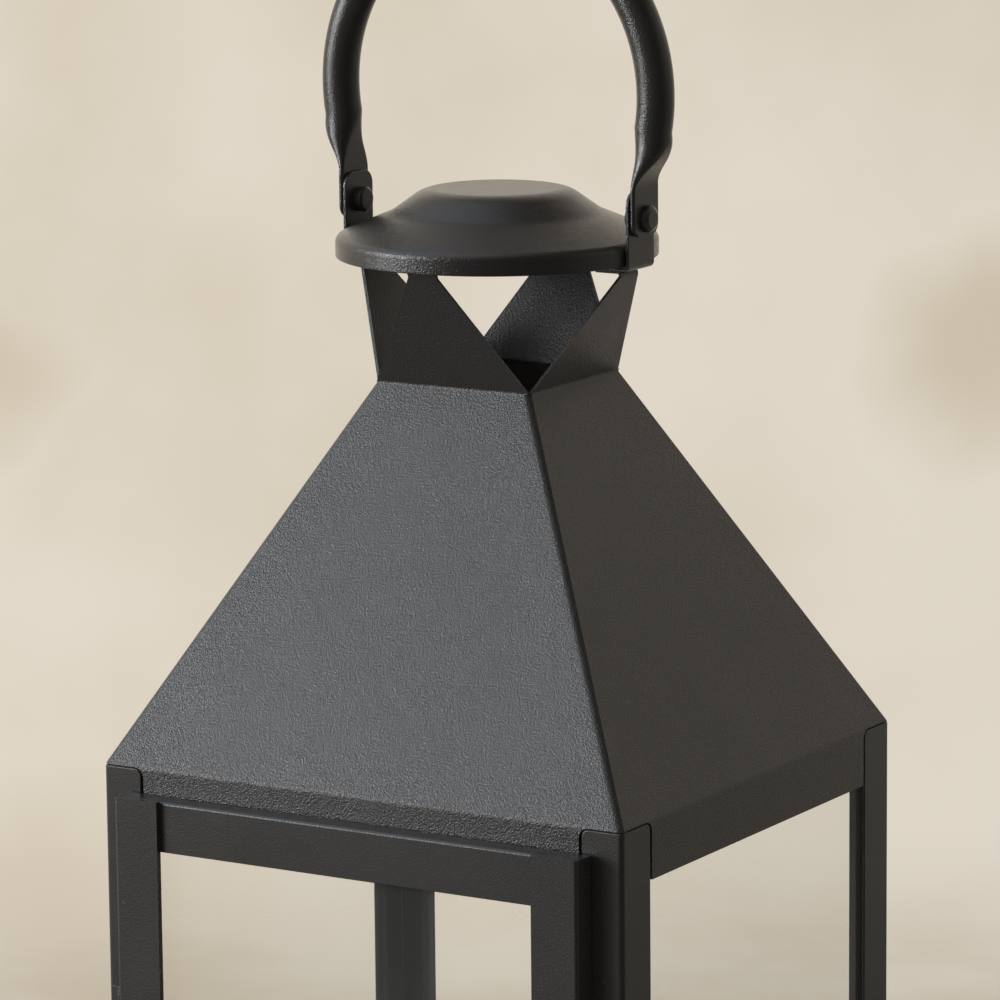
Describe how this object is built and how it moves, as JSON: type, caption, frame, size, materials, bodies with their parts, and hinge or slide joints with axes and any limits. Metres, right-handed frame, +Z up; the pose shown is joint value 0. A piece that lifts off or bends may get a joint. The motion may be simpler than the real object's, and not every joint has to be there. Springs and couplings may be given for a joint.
{
  "type": "candle lantern",
  "caption": "Square candle lantern with a pyramid roof, open chimney flaps under a spun cap, glazed sides, a hinged glazed door with a turn latch, and a swinging tubular bail.",
  "frame": {"origin": "middle of the base on the table, centred on the body's width and depth, without the door", "axes": "+Z up, +X to the right seen from the door, the door faces -Y"},
  "size_m": [0.2, 0.2014, 0.5892],
  "materials": {
    "frame_coat": "satin black powder coat with a fine orange-peel grain",
    "roof_coat": "satin black powder coat with a fine orange-peel grain",
    "cap_coat": "satin black powder coat with a fine orange-peel grain, a little smoother on the spun crown",
    "bail_coat": "satin black powder coat with a fine orange-peel grain, with a soft gloss on the tube",
    "door_coat": "satin black powder coat with a fine orange-peel grain",
    "hardware_coat": "satin black coat, worn a little smoother on the moving edges",
    "clip_steel": "thin satin black coat on spring strip",
    "pane_glass": "clear float glass with a faint green edge"
  },
  "bodies": {
    "lantern": {"base_tray": "frame_coat", "post_front_left": "frame_coat", "post_front_right": "frame_coat", "post_back_left": "frame_coat", "post_back_right": "frame_coat", "head_rail_front": "frame_coat", "head_rail_back": "frame_coat", "head_rail_left": "frame_coat", "head_rail_right": "frame_coat", "roof_front": "roof_coat", "roof_back": "roof_coat", "roof_left": "roof_coat", "roof_right": "roof_coat", "chimney_cap": "cap_coat", "bail_strap": "bail_coat", "bail_rivet_left": "bail_coat", "bail_rivet_right": "bail_coat", "glass_left": "pane_glass", "glass_right": "pane_glass", "glass_back": "pane_glass", "glass_clips_left": "clip_steel", "glass_clips_right": "clip_steel", "glass_clips_back": "clip_steel", "hinge_upper_frame_leaf": "hardware_coat", "hinge_upper_pin": "hardware_coat", "hinge_lower_frame_leaf": "hardware_coat", "hinge_lower_pin": "hardware_coat", "latch_keeper": "hardware_coat"},
    "door": {"door_stile_left": "door_coat", "door_stile_right": "door_coat", "door_rail_top": "door_coat", "door_rail_bottom": "door_coat", "door_glass": "pane_glass", "door_glass_clips": "clip_steel", "hinge_upper_door_leaf": "hardware_coat", "hinge_lower_door_leaf": "hardware_coat", "latch_rivet": "hardware_coat"},
    "latch": {"latch_lever": "hardware_coat"},
    "bail": {"bail": "bail_coat"}
  },
  "joints": [
    {"name": "bail_swing", "type": "hinge", "parent": "lantern", "child": "bail", "pos_m": [0, 0, 0.482], "axis": [1, 0, 0], "range_deg": [-146, 146]},
    {"name": "door_swing", "type": "hinge", "parent": "lantern", "child": "door", "pos_m": [-0.09155, -0.09455, 0.15], "axis": [0, 0, -1], "range_deg": [0, 110]},
    {"name": "latch_turn", "type": "hinge", "parent": "door", "child": "latch", "pos_m": [0.0805, -0.10275, 0.15], "axis": [0, -1, 0], "range_deg": [0, 90]}
  ]
}
